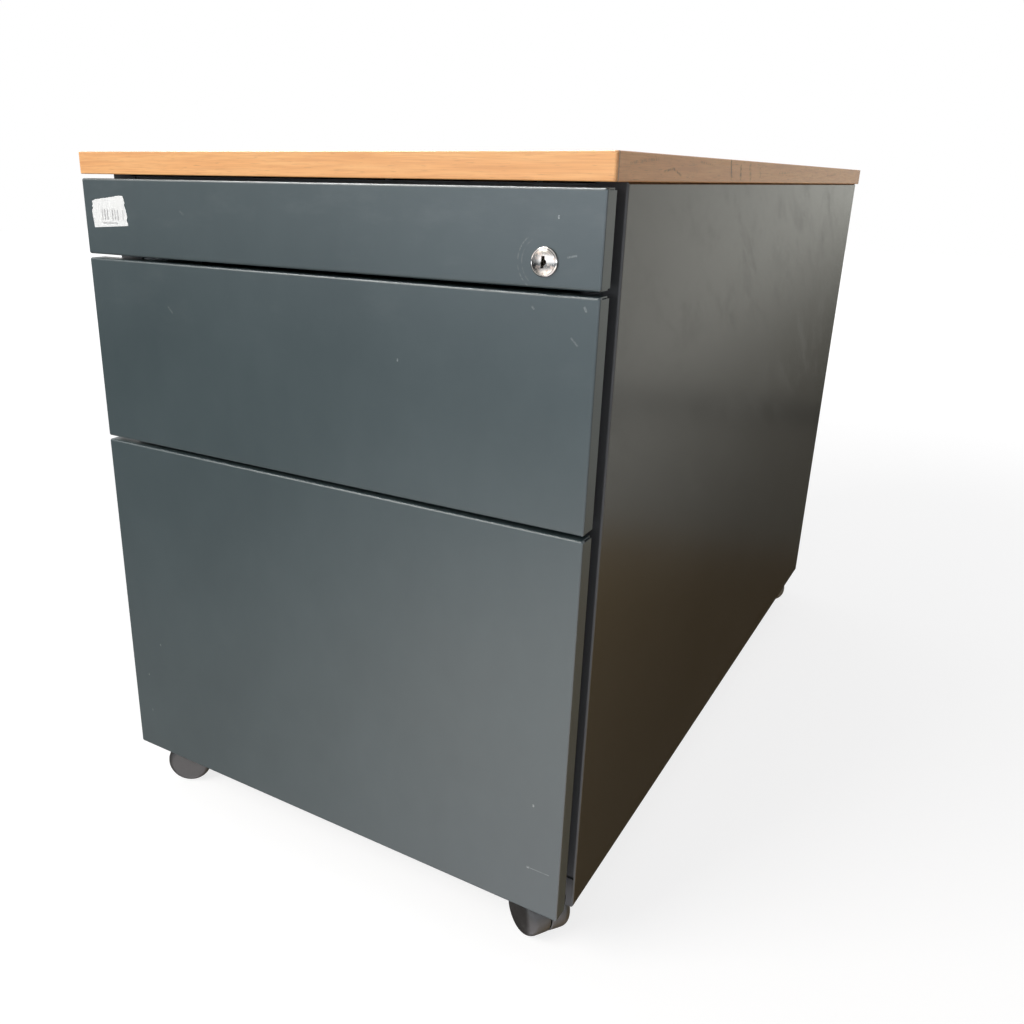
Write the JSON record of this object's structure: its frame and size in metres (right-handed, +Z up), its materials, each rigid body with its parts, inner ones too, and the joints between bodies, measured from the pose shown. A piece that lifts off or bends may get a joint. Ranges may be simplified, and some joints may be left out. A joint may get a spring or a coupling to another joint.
{
  "type": "rolling pedestal cabinet",
  "caption": "Steel rolling pedestal with a wood-pattern top, stacked drawers with full-width fronts and side finger gaps, a central lock and hooded twin-wheel castors.",
  "frame": {"origin": "on the floor, under the middle of the cabinet's width and depth", "axes": "+Z up; drawer fronts face -Y; +X to the right seen from the front"},
  "size_m": [0.435, 0.8024, 0.563],
  "materials": {
    "board_face": "beech-pattern melamine face, satin",
    "edge_band": "beech-pattern ABS edge band, satin",
    "front_powder": "anthracite fine-texture powder coat, satin",
    "carcass_powder": "dark grey powder coat, semi-gloss",
    "box_powder": "black-grey powder coat, matt",
    "zinc": "bright zinc-plated steel",
    "chrome": "polished chrome plating",
    "brass_core": "chrome-plated plug, lightly scratched",
    "cast_iron": "raw rolled steel slab, dull",
    "black_plastic": "moulded black polyamide, matt",
    "grey_plastic": "moulded polystyrene tray, satin",
    "paper": "torn white sticker"
  },
  "bodies": {
    "root": {"top_board": "board_face", "edge_band_front": "edge_band", "edge_band_rear": "edge_band", "edge_band_left": "edge_band", "edge_band_right": "edge_band", "board_screws": "zinc", "side_panel_right": "carcass_powder", "side_panel_left": "carcass_powder", "rear_panel": "carcass_powder", "base_plate": "carcass_powder", "foot_rail": "carcass_powder", "top_rail_front": "carcass_powder", "top_rail_rear": "carcass_powder", "slide_posts": "zinc", "counterweight": "cast_iron", "lock_bar_guides": "black_plastic", "castor_plates": "zinc", "castor_screws": "zinc", "pencil_slide_rails": "zinc", "middle_slide_rails": "zinc", "file_slide_rails": "zinc"},
    "pencil_drawer": {"pencil_front": "front_powder", "pencil_box": "box_powder", "pencil_tray": "grey_plastic", "pencil_front_screws": "zinc", "pencil_slide_runners": "zinc", "blank_label": "paper", "lock_housing": "chrome", "lock_nut": "zinc"},
    "middle_drawer": {"middle_front": "front_powder", "middle_box": "box_powder", "middle_dividers": "box_powder", "middle_front_screws": "zinc", "middle_slide_runners": "zinc"},
    "file_drawer": {"file_front": "front_powder", "file_box": "box_powder", "hanging_rails": "zinc", "file_front_screws": "zinc", "file_slide_runners": "zinc"},
    "file_slide_link": {"file_slide_links": "zinc"},
    "lock": {"lock_core": "brass_core", "lock_cam": "zinc"},
    "lock_bar": {"lock_bar": "zinc"},
    "castor_front_left": {"castor_hood_front_left": "black_plastic", "castor_axle_front_left": "zinc"},
    "wheel_a_front_left": {"castor_wheel_a_front_left": "black_plastic"},
    "wheel_b_front_left": {"castor_wheel_b_front_left": "black_plastic"},
    "castor_front_right": {"castor_hood_front_right": "black_plastic", "castor_axle_front_right": "zinc"},
    "wheel_a_front_right": {"castor_wheel_a_front_right": "black_plastic"},
    "wheel_b_front_right": {"castor_wheel_b_front_right": "black_plastic"},
    "castor_rear_left": {"castor_hood_rear_left": "black_plastic", "castor_axle_rear_left": "zinc"},
    "wheel_a_rear_left": {"castor_wheel_a_rear_left": "black_plastic"},
    "wheel_b_rear_left": {"castor_wheel_b_rear_left": "black_plastic"},
    "castor_rear_right": {"castor_hood_rear_right": "black_plastic", "castor_axle_rear_right": "zinc"},
    "wheel_a_rear_right": {"castor_wheel_a_rear_right": "black_plastic"},
    "wheel_b_rear_right": {"castor_wheel_b_rear_right": "black_plastic"}
  },
  "joints": [
    {"name": "pencil_drawer_slide", "type": "slide", "parent": "root", "child": "pencil_drawer", "axis": [0, -1, 0], "range_m": [0, 0.25]},
    {"name": "middle_drawer_slide", "type": "slide", "parent": "root", "child": "middle_drawer", "axis": [0, -1, 0], "range_m": [0, 0.5]},
    {"name": "file_drawer_slide", "type": "slide", "parent": "root", "child": "file_drawer", "axis": [0, -1, 0], "range_m": [0, 0.68]},
    {"name": "file_link_slide", "type": "slide", "parent": "root", "child": "file_slide_link", "axis": [0, -1, 0], "range_m": [0, 0.34]},
    {"name": "lock_turn", "type": "hinge", "parent": "pencil_drawer", "child": "lock", "pos_m": [0.1785, -0.4, 0.5033], "axis": [0, -1, 0], "range_deg": [0, 90]},
    {"name": "lock_bar_lift", "type": "slide", "parent": "root", "child": "lock_bar", "axis": [0, 0, 1], "range_m": [0, 0.0099]},
    {"name": "castor_swivel_front_left", "type": "hinge", "parent": "root", "child": "castor_front_left", "pos_m": [-0.16845, -0.35445, 0.02], "axis": [0, 0, 1], "continuous": true},
    {"name": "wheel_a_spin_front_left", "type": "hinge", "parent": "castor_front_left", "child": "wheel_a_front_left", "pos_m": [-0.18577, -0.36445, 0.02], "axis": [0.5, -0.866, 0], "continuous": true},
    {"name": "wheel_b_spin_front_left", "type": "hinge", "parent": "castor_front_left", "child": "wheel_b_front_left", "pos_m": [-0.18577, -0.36445, 0.02], "axis": [0.5, -0.866, 0], "continuous": true},
    {"name": "castor_swivel_front_right", "type": "hinge", "parent": "root", "child": "castor_front_right", "pos_m": [0.16845, -0.35445, 0.02], "axis": [0, 0, 1], "continuous": true},
    {"name": "wheel_a_spin_front_right", "type": "hinge", "parent": "castor_front_right", "child": "wheel_a_front_right", "pos_m": [0.18503, -0.36564, 0.02], "axis": [0.5592, 0.829, 0], "continuous": true},
    {"name": "wheel_b_spin_front_right", "type": "hinge", "parent": "castor_front_right", "child": "wheel_b_front_right", "pos_m": [0.18503, -0.36564, 0.02], "axis": [0.5592, 0.829, 0], "continuous": true},
    {"name": "castor_swivel_rear_left", "type": "hinge", "parent": "root", "child": "castor_rear_left", "pos_m": [-0.16845, 0.35445, 0.02], "axis": [0, 0, 1], "continuous": true},
    {"name": "wheel_a_spin_rear_left", "type": "hinge", "parent": "castor_rear_left", "child": "wheel_a_rear_left", "pos_m": [-0.18725, 0.34761, 0.02], "axis": [0.342, -0.9397, 0], "continuous": true},
    {"name": "wheel_b_spin_rear_left", "type": "hinge", "parent": "castor_rear_left", "child": "wheel_b_rear_left", "pos_m": [-0.18725, 0.34761, 0.02], "axis": [0.342, -0.9397, 0], "continuous": true},
    {"name": "castor_swivel_rear_right", "type": "hinge", "parent": "root", "child": "castor_rear_right", "pos_m": [0.16845, 0.35445, 0.02], "axis": [0, 0, 1], "continuous": true},
    {"name": "wheel_a_spin_rear_right", "type": "hinge", "parent": "castor_rear_right", "child": "wheel_a_rear_right", "pos_m": [0.187, 0.34696, 0.02], "axis": [0.3746, 0.9272, 0], "continuous": true},
    {"name": "wheel_b_spin_rear_right", "type": "hinge", "parent": "castor_rear_right", "child": "wheel_b_rear_right", "pos_m": [0.187, 0.34696, 0.02], "axis": [0.3746, 0.9272, 0], "continuous": true}
  ],
  "couplings": [
    {"joint": "file_link_slide", "follows": "file_drawer_slide", "ratio": 0.5},
    {"joint": "lock_turn", "follows": "lock_bar_lift", "rad_per_m": 158.67}
  ]
}
